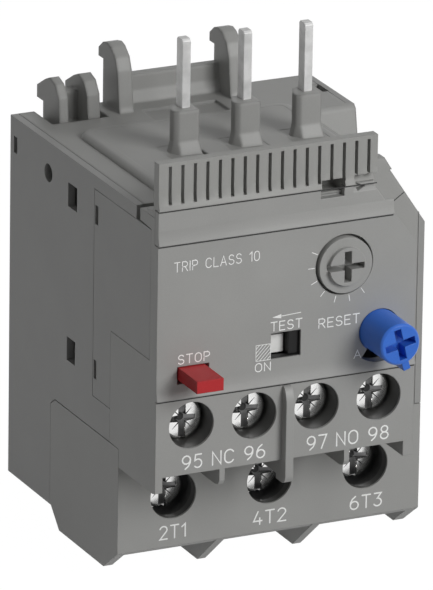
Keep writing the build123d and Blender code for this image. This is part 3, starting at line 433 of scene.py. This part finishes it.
# letters and figures as a width and the strokes in a box one unit tall
bow_of_p = arc(0.3, 0.735, 0.26, 0.265, 90, -90)
nine = [arc(0.3, 0.69, 0.29, 0.31, 0, 360), [(0.59, 0.69), (0.57, 0.45), (0.45, 0.2), (0.22, 0.0)]]
letters = {
    "S": (0.57, [arc(0.29, 0.745, 0.26, 0.255, 25, 250) + arc(0.29, 0.255, 0.28, 0.255, 70, -155)]),
    "T": (0.6, [[(0, 1), (0.6, 1)], [(0.3, 1), (0.3, 0)]]),
    "O": (0.64, [long_round(0.64, 0.36)]),
    "P": (0.56, [[(0, 0), (0, 1), (0.3, 1)] + bow_of_p + [(0, 0.47)]]),
    "E": (0.52, [[(0.52, 1), (0, 1), (0, 0), (0.52, 0)], [(0, 0.52), (0.45, 0.52)]]),
    "R": (0.58, [[(0, 0), (0, 1), (0.3, 1)] + bow_of_p + [(0, 0.47)], [(0.3, 0.47), (0.58, 0)]]),
    "A": (0.64, [[(0, 0), (0.32, 1), (0.64, 0)], [(0.11, 0.33), (0.53, 0.33)]]),
    "N": (0.58, [[(0, 0), (0, 1), (0.58, 0), (0.58, 1)]]),
    "C": (0.62, [arc(0.33, 0.64, 0.32, 0.36, 30, 180) + arc(0.33, 0.36, 0.32, 0.36, 180, 330)]),
    "L": (0.5, [[(0, 1), (0, 0), (0.5, 0)]]),
    "I": (0.02, [[(0.01, 1), (0.01, 0)]]),
    " ": (0.4, []),
    "0": (0.56, [long_round(0.56, 0.32)]),
    "1": (0.26, [[(0, 0.78), (0.25, 1), (0.25, 0)]]),
    "2": (0.57, [arc(0.28, 0.74, 0.27, 0.26, 165, -35) + [(0.02, 0), (0.57, 0)]]),
    "3": (0.54, [[(0.03, 1), (0.52, 1), (0.25, 0.6)] + arc(0.26, 0.3, 0.28, 0.3, 85, -150)]),
    "4": (0.58, [[(0.3, 1), (0, 0.27), (0.58, 0.27)], [(0.43, 0.5), (0.43, 0)]]),
    "5": (0.56, [[(0.52, 1), (0.1, 1), (0.05, 0.55)] + arc(0.27, 0.32, 0.28, 0.32, 130, -140)]),
    "6": (0.6, [[(0.6 - x, 1 - z) for x, z in line] for line in nine]),
    "7": (0.56, [[(0, 1), (0.56, 1), (0.2, 0)]]),
    "8": (0.58, [arc(0.29, 0.76, 0.24, 0.24, 0, 360), arc(0.29, 0.26, 0.28, 0.26, 0, 360)]),
    "9": (0.6, nine),
}


def legend(name, text, x_span, z_span, y, half):
    """Printed marking that fills a box on a front face."""
    gap = 0.26
    total = sum(letters[character][0] for character in text) + gap * (len(text) - 1)
    wide = (x_span[1] - x_span[0] - 2 * half) / total
    tall = z_span[1] - z_span[0] - 2 * half
    left, foot = x_span[0] + half, z_span[0] + half
    strokes = []
    for character in text:
        width, lines = letters[character]
        strokes += [[(left + x * wide, foot + z * tall) for x, z in line] for line in lines]
        left += (width + gap) * wide
    printed(name, strokes, y, half)


AUX_ROW, MAIN_ROW = (15.15, 17.15), (1.0, 3.0)
for marking in (
    ("mark_class", "TRIP CLASS 10", (-19.7, -7.5), (42.5, 43.9), FRONT, HAIR),
    ("mark_stop", "STOP", (-19.0, -14.4), (29.8, 31.15), FRONT, THIN),
    ("mark_test", "TEST", (-5.8, -1.2), (32.45, 33.8), FRONT, THIN),
    ("mark_reset", "RESET", (1.1, 7.1), (31.9, 33.3), FRONT, THIN),
    ("mark_a", "A", (6.3, 7.4), (27.0, 28.2), FRONT, HAIR),
    ("mark_on", "ON", (-7.95, -5.65), (27.15, 28.4), FRONT, THIN),
    ("mark_95", "95", (-18.25, -15.25), AUX_ROW, FRONT, BOLD),
    ("mark_nc", "NC", (-13.9, -10.7), AUX_ROW, FRONT, BOLD),
    ("mark_96", "96", (-9.3, -6.2), AUX_ROW, FRONT, BOLD),
    ("mark_97", "97", (-0.3, 2.7), (15.15, 17.2), FRONT, BOLD),
    ("mark_no", "NO", (4.0, 7.25), AUX_ROW, FRONT, BOLD),
    ("mark_98", "98", (8.65, 11.7), AUX_ROW, FRONT, BOLD),
    ("mark_2t1", "2T1", (-16.0, -12.1), MAIN_ROW, BLOCK, BOLD),
    ("mark_4t2", "4T2", (-2.35, 2.55), MAIN_ROW, BLOCK, BOLD),
    ("mark_6t3", "6T3", (11.8, 16.6), MAIN_ROW, BLOCK, BOLD),
):
    legend(*marking)


def dial_marks():
    """Seven scale marks round the current dial."""
    inner, outer = 4.35, 5.2
    ticks = []
    for i in range(7):
        angle = math.radians(154.5 + 25.0 * i)
        ticks.append([(DIAL_X + r * math.cos(angle), DIAL_Z + r * math.sin(angle)) for r in (inner, outer)])
    printed("dial_marks", ticks, FRONT, 0.05)


def test_arrow():
    """Arrow above the test window, which points to the left."""
    head = [(-5.55, 34.4), (-4.27, 34.14), (-4.27, 34.72)]
    printed("test_arrow", [[(-4.3, 34.43), (-1.46, 34.57)]], FRONT, 0.05, [head])


def on_hatch():
    """Hatched square to the left of the test window."""
    left, right, foot, top = -7.82, -5.74, 28.68, 30.85
    wide, tall = right - left, top - foot
    square = rectangle(left, right, foot, top)
    lines = [square + square[:1]]
    for share in (-0.75, -0.5, -0.25, 0.0, 0.25, 0.5, 0.75):
        start = (left + max(share, 0) * wide, foot - min(share, 0) * tall)
        end = (right + min(share, 0) * wide, top - max(share, 0) * tall)
        lines.append([start, end])
    printed("on_hatch", lines, FRONT, 0.04)


dial_marks()
test_arrow()
on_hatch()

# shadow lines where the label, the comb and the middle band meet
SEAM_LEFT = -21.9
for name, right, z in (("seam_label", 11.6, 46.15), ("seam_comb", 9.1, 50.9), ("seam_band", 15.1, 24.9)):
    printed(name, [[(SEAM_LEFT, z), (right, z)]], FRONT, 0.075, material=shadow_mat)


# Clamping screws


def clamp_screw(node, head_tall, slot_deep, arm, shaft):
    """Nickel screw with a domed head, a full slot, a cross recess, four witness marks and a thread."""
    slot = 0.48
    chamfer = 0.15
    pitch = 0.55
    low, high = box_mm(node)
    x, z = middle_of(node)
    radius = (high[0] - low[0]) / 2
    tip, end = low[1], high[1]
    bottom = tip + slot_deep
    neck = tip + head_tall
    bm = bmesh.new()

    # two raised halves of the head, left and right of the slot, with a notch for the cross
    reach = math.degrees(math.asin(slot / radius))
    rim = arc(0, 0, radius, radius, 90 + reach, 270 - reach, 30)
    notch = [(-slot, -slot * 0.9), (-arm, -slot * 0.62), (-arm, slot * 0.62), (-slot, slot * 0.9)]
    weights = [1.0] * (len(rim) - 1) + [0.12] * (len(notch) + 1)
    for side in (-1, 1):
        prism(bm, [(x - side * px, z + pz) for px, pz in rim + notch], tip, bottom, 0, weights)

    # head below the slot, and the threaded shaft
    lathe(bm, [(bottom, radius), (neck - chamfer, radius), (neck, radius - chamfer)], x, z)
    root, crest = shaft - 0.22, shaft - 0.02
    thread = [(neck - 0.05, shaft - 0.2)]
    y = neck
    while y < end - 0.7:
        thread += [(y, root), (y + 0.2, crest), (y + 0.35, crest)]
        y += pitch
    thread += [(end - 0.45, shaft - 0.1), (end, shaft - 0.6)]
    lathe(bm, thread, x, z, steps=32)

    # bottom of the slot and sloping arms of the cross in darker metal, and its centre in black: painted
    # shade of the recess
    tall = radius * 0.97
    prism(bm, rectangle(x - slot, x + slot, z - tall, z + tall), bottom - 0.03, bottom + 0.05, 1)
    for side in (-1, 1):
        slope = []
        for px, py, half in ((0.3, bottom - 0.02, 0.4), (arm, bottom - 0.02, 0.28), (arm, tip + 0.22, 0.28)):
            px = x + side * px
            slope.append([bm.verts.new((px * MM, py * MM, pz * MM)) for pz in (z - half, z + half)])
        (a0, a1), (b0, b1), (c0, c1) = slope
        for corners in ((a0, b0, c0), (a1, c1, b1), (a0, a1, c1, c0), (b0, c0, c1, b1), (a0, b0, b1, a1)):
            bm.faces.new(corners).material_index = 1
    prism(bm, arc(x, z, 0.52, 0.52, 22.5, 382.5, 8)[:-1], bottom - 0.3, bottom + 0.05, 2)

    # witness marks between the arms, in black: painted shade of the engraved lines
    for angle in (45, 135, 225, 315):
        along = Vector((math.cos(math.radians(angle)), math.sin(math.radians(angle))))
        aside = Vector((-along.y, along.x))
        inner = Vector((x, z)) + along * 0.72
        outer = Vector((x, z)) + along * radius * 0.66
        mark = [inner - aside * 0.09, outer - aside * 0.015, outer + aside * 0.015, inner + aside * 0.09]
        prism(bm, mark, tip - 0.006, tip + 0.05, 2)

    screw = piece_from(bm, f"{node}_plated", node, (nickel_mat, recess_shade_mat, shade_black_mat))
    round_edges(screw, "dome", 0.5, 5)
    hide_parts(node)


for name in numbered("main_screw", POLES):
    clamp_screw(name, head_tall=2.1, slot_deep=1.2, arm=1.95, shaft=2.0)
for name in numbered("aux_screw", AUXILIARIES):
    clamp_screw(name, head_tall=1.6, slot_deep=1.0, arm=1.85, shaft=1.5)


# Return springs


def return_spring(node):
    """Coil along Y that fills the box of the spring."""
    wire = 0.2
    turns, steps, sides = 4, 28, 8
    low, high = box_mm(node)
    x, z = middle_of(node)
    radius = (high[0] - low[0]) / 2 - wire
    start, end = low[1] + wire, high[1] - wire
    rings = []
    bm = bmesh.new()
    for i in range(turns * steps + 1):
        angle = 2 * math.pi * i / steps
        outward = Vector((math.cos(angle), 0, math.sin(angle)))
        centre = Vector((x, start + (end - start) * i / (turns * steps), z)) + outward * radius
        ring = []
        for k in range(sides):
            turn = 2 * math.pi * k / sides
            way = outward * math.cos(turn) + Vector((0, math.sin(turn), 0))
            ring.append(bm.verts.new((centre + way * wire) * MM))
        rings.append(ring)
    skin(bm, rings)
    coil = piece_from(bm, f"{node}_coil", "case", (wire_mat,))
    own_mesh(coil)
    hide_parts(node)


return_spring("reset_spring")
return_spring("stop_spring")


# Dark tubes inside the screw wells: painted shade of the deep walls, near black at the mouth and black
# further in


def shade_tube(bm, x, z, depths, inner, outer, material=0):
    """Thin tube along Y between two depths."""
    near, far = depths
    profile = [(near, inner), (near, outer), (far, outer), (far, inner)]
    lathe(bm, profile, x, z, material, steps=64, closed=True)


for i in AUXILIARIES:
    bm = bmesh.new()
    x, z = middle_of(f"aux_cage_{i}")
    shade_tube(bm, x, z, (FRONT + 0.35, FRONT + 4.7), 3.16, 3.19)
    piece_from(bm, f"aux_well_shade_{i}", "case", (well_shade_mat,))
for i in POLES:
    bm = bmesh.new()
    x, z = middle_of(f"main_cage_{i}")[0], middle_of(f"main_screw_{i}")[1]
    shade_tube(bm, x, z, (BLOCK + 0.3, BLOCK + 1.45), 3.26, 3.29)
    shade_tube(bm, x, z, (BLOCK + 1.52, BLOCK + 5.6), 3.6, 3.75, material=1)
    piece_from(bm, f"main_well_shade_{i}", "case", (well_shade_mat, shade_black_mat))


# Trim of the case

# painted shadow of a fine groove on the wing face
printed("wing_groove_shadow", [[(16.83, 43.31), (18.85, 44.7)]], BLOCK, 0.06, material=shadow_mat)


def middle_fin_nose():
    """Rounded nose of the fin between the two pairs of auxiliary terminals."""
    left, right = -3.87, -2.73
    root = FRONT + 0.6
    nose = [(FRONT + 0.4, 24.95), (FRONT - 0.02, 24.8)]
    nose += arc(FRONT, 22.3, 1.24, 2.5, 105, 180, 5) + [(FRONT - 1.24, 13.3)]
    nose += arc(FRONT - 0.14, 12.6, 1.1, 1.2, 180, 270, 6) + [(root, 11.4), (root, 24.95)]
    bm = bmesh.new()
    layer = weight_layer(bm)
    sides = [[bm.verts.new((x * MM, y * MM, z * MM)) for y, z in nose] for x in (left, right)]
    skin(bm, sides)
    for i in range(len(nose)):
        j = (i + 1) % len(nose)
        if max(nose[i][0], nose[j][0]) < FRONT + 0.3:
            for side in sides:
                bm.edges.get((side[i], side[j]))[layer] = 1.0
    fin = piece_from(bm, "middle_fin_nose", "case", (case_mat,))
    round_edges(fin, "edges", 0.3, 3)


PANEL_LEFT, PANEL_RIGHT, PANEL_BACK = -16.6, 12.5, -11.8


def roof_panel_rim():
    """Rolled rim along the left, rear and right edge of the raised roof panel."""
    corner = 1.5
    wide, inset = 0.95, 0.6
    front_left, front_right = -39.6, -35.0
    path = [(PANEL_LEFT, front_left, -1, 0)]
    for x, start in ((PANEL_LEFT + corner, 180), (PANEL_RIGHT - corner, 90)):
        ways = arc(0, 0, 1, 1, start, start - 90, 6)
        path += [(x + corner * nx, PANEL_BACK - corner + corner * ny, nx, ny) for nx, ny in ways]
    path += [(PANEL_RIGHT, front_right, 1, 0)]
    section = arc(0, 0, wide, PANEL_RISE, 0, 90, 6) + [(-inset, PANEL_RISE), (-inset, 0.0)]
    bm = bmesh.new()
    rings = []
    for x, y, nx, ny in path:
        places = [(x + nx * out, y + ny * out, ROOF + up) for out, up in section]
        rings.append([bm.verts.new(Vector(place) * MM) for place in places])
    skin(bm, rings)
    piece_from(bm, "roof_panel_rim", "case", (case_mat,))


def shroud_floor(i):
    """Level floor of the panel round the shroud of a contact pin."""
    x = middle_of(f"contact_pin_{i}")[0]
    left, right = x - 3.8, min(x + 3.2, PANEL_RIGHT - 0.1)
    bm = bmesh.new()
    prism(bm, rectangle(left, right, ROOF - 0.02, ROOF + PANEL_RISE - 0.03), FRONT + 12, FRONT + 25)
    piece_from(bm, f"shroud_floor_{i}", "case", (case_mat,), smooth=False)


middle_fin_nose()
roof_panel_rim()
for i in POLES:
    shroud_floor(i)


# Test window and its flag


def test_window_shade_walls():
    """Black walls round the test window, behind the front: painted shade of the window's sides."""
    left, right, foot, top = -5.69, -1.41, 28.66, 32.19
    level, upright = 0.06, 0.05
    bm = bmesh.new()
    for outline in (
        rectangle(left, right, foot, foot + level),
        rectangle(left, right, top - level, top),
        rectangle(left, left + upright, foot, top),
        rectangle(right - upright, right, foot, top),
    ):
        prism(bm, outline, FRONT + 0.25, FRONT + 1.45)
    piece_from(bm, "test_window_shade_walls", "case", (shade_black_mat,), smooth=False)


def test_flag_face():
    """White flag behind the test window, with rounded edges, shorter than the solid that it replaces."""
    foot, top = 28.85, 31.3
    low, high = box_mm("test_flag")
    bm = bmesh.new()
    prism(bm, rectangle(low[0], high[0], foot, top), low[1], high[1], 0, [0.3] * 4)
    flag = piece_from(bm, "test_flag_face", "test", (white_mat,))
    round_edges(flag, "edges", 0.25, 3)
    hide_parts("test_flag")


test_window_shade_walls()
test_flag_face()


# Floor, backdrop and light

WHITE = (1, 1, 1, 1)


def seen_directly(tree):
    """Node that gives 1 to camera, glossy and transmission rays, and 0 to scattered light."""
    path = add(tree, "ShaderNodeLightPath")
    either = add(tree, "ShaderNodeMath")
    either.operation = "MAXIMUM"
    link(tree, path, "Is Camera Ray", either, 0)
    link(tree, path, "Is Glossy Ray", either, 1)
    third = add(tree, "ShaderNodeMath")
    third.operation = "MAXIMUM"
    link(tree, either, "Value", third, 0)
    link(tree, path, "Is Transmission Ray", third, 1)
    return third


def floor_white():
    """White paper that keeps the shadow: an even glow with a little of its lit colour."""
    material = bpy.data.materials.new("floor_white")
    tree = nodes_of(material)
    level = add(tree, "ShaderNodeMath", {1: 0.96})
    level.operation = "MULTIPLY"
    link(tree, seen_directly(tree), "Value", level, 0)
    mix = add(tree, "ShaderNodeMixShader")
    link(tree, level, "Value", mix, "Fac")
    paper = add(tree, "ShaderNodeBsdfDiffuse", {"Color": (0.5, 0.5, 0.5, 1)})
    link(tree, paper, "BSDF", mix, 1)
    glow = add(tree, "ShaderNodeEmission", {"Color": WHITE, "Strength": 1.04})
    link(tree, glow, "Emission", mix, 2)
    link(tree, mix, "Shader", add(tree, "ShaderNodeOutputMaterial"), "Surface")
    return material


def floor():
    """Level floor just under the lowest point of the relay."""
    mesh = bpy.data.meshes.new("floor")
    bm = bmesh.new()
    bmesh.ops.create_grid(bm, x_segments=2, y_segments=2, size=3.0)
    bm.to_mesh(mesh)
    bm.free()
    mesh.materials.append(floor_white())
    obj = bpy.data.objects.new("floor", mesh)
    obj.location = (0, 0, cad_low[2] - 0.05 * MM)
    bpy.context.scene.collection.objects.link(obj)


def studio():
    """World that lights softly and shows white."""
    world = bpy.data.worlds.new("studio")
    bpy.context.scene.world = world
    tree = nodes_of(world)
    mix = add(tree, "ShaderNodeMixShader")
    link(tree, seen_directly(tree), "Value", mix, "Fac")
    soft = add(tree, "ShaderNodeBackground", {"Color": WHITE, "Strength": 0.135})
    link(tree, soft, "Background", mix, 1)
    seen = add(tree, "ShaderNodeBackground", {"Color": WHITE, "Strength": 1.0})
    link(tree, seen, "Background", mix, 2)
    link(tree, mix, "Shader", add(tree, "ShaderNodeOutputWorld"), "Surface")


def lamp(name, place, size, watts):
    """Square lamp that looks at the middle of the relay, with its place and size in metres."""
    aim = Vector((0.0, -0.025, 0.03))
    data = bpy.data.lights.new(name, "AREA")
    data.shape = "RECTANGLE"
    data.size = data.size_y = size
    data.energy = watts
    obj = bpy.data.objects.new(name, data)
    bpy.context.scene.collection.objects.link(obj)
    obj.location = place
    obj.rotation_euler = (aim - Vector(place)).to_track_quat("-Z", "Y").to_euler()


floor()
studio()
lamp("key", (0.25, -0.62, 0.35), 0.35, 3.55)
lamp("top", (0.05, 0.0, 0.7), 0.4, 0.12)
lamp("left", (-0.7, -0.2, 0.2), 0.4, 0.03)


# Camera, in metres, fitted to the photograph

EYE = Vector((-0.489146, -1.037355, 0.432548))
TARGET = Vector((-0.004002, -0.0263, 0.030688))
ROLL = math.radians(0.8895)


def fitted_camera():
    data = bpy.data.cameras.new("camera")
    data.lens = 553.25
    data.sensor_width = 36
    data.sensor_fit = "AUTO"
    data.clip_start = 0.01
    data.clip_end = 20
    camera = bpy.data.objects.new("camera", data)
    bpy.context.scene.collection.objects.link(camera)
    ahead = (TARGET - EYE).normalized()
    level = ahead.cross(Vector((0, 0, 1))).normalized()
    upright = level.cross(ahead)
    right = level * math.cos(ROLL) + upright * math.sin(ROLL)
    up = upright * math.cos(ROLL) - level * math.sin(ROLL)
    turned = Matrix((right, up, -ahead)).transposed().to_4x4()
    camera.matrix_world = Matrix.Translation(EYE) @ turned
    bpy.context.scene.camera = camera


fitted_camera()
bpy.context.scene.view_settings.view_transform = "Standard"
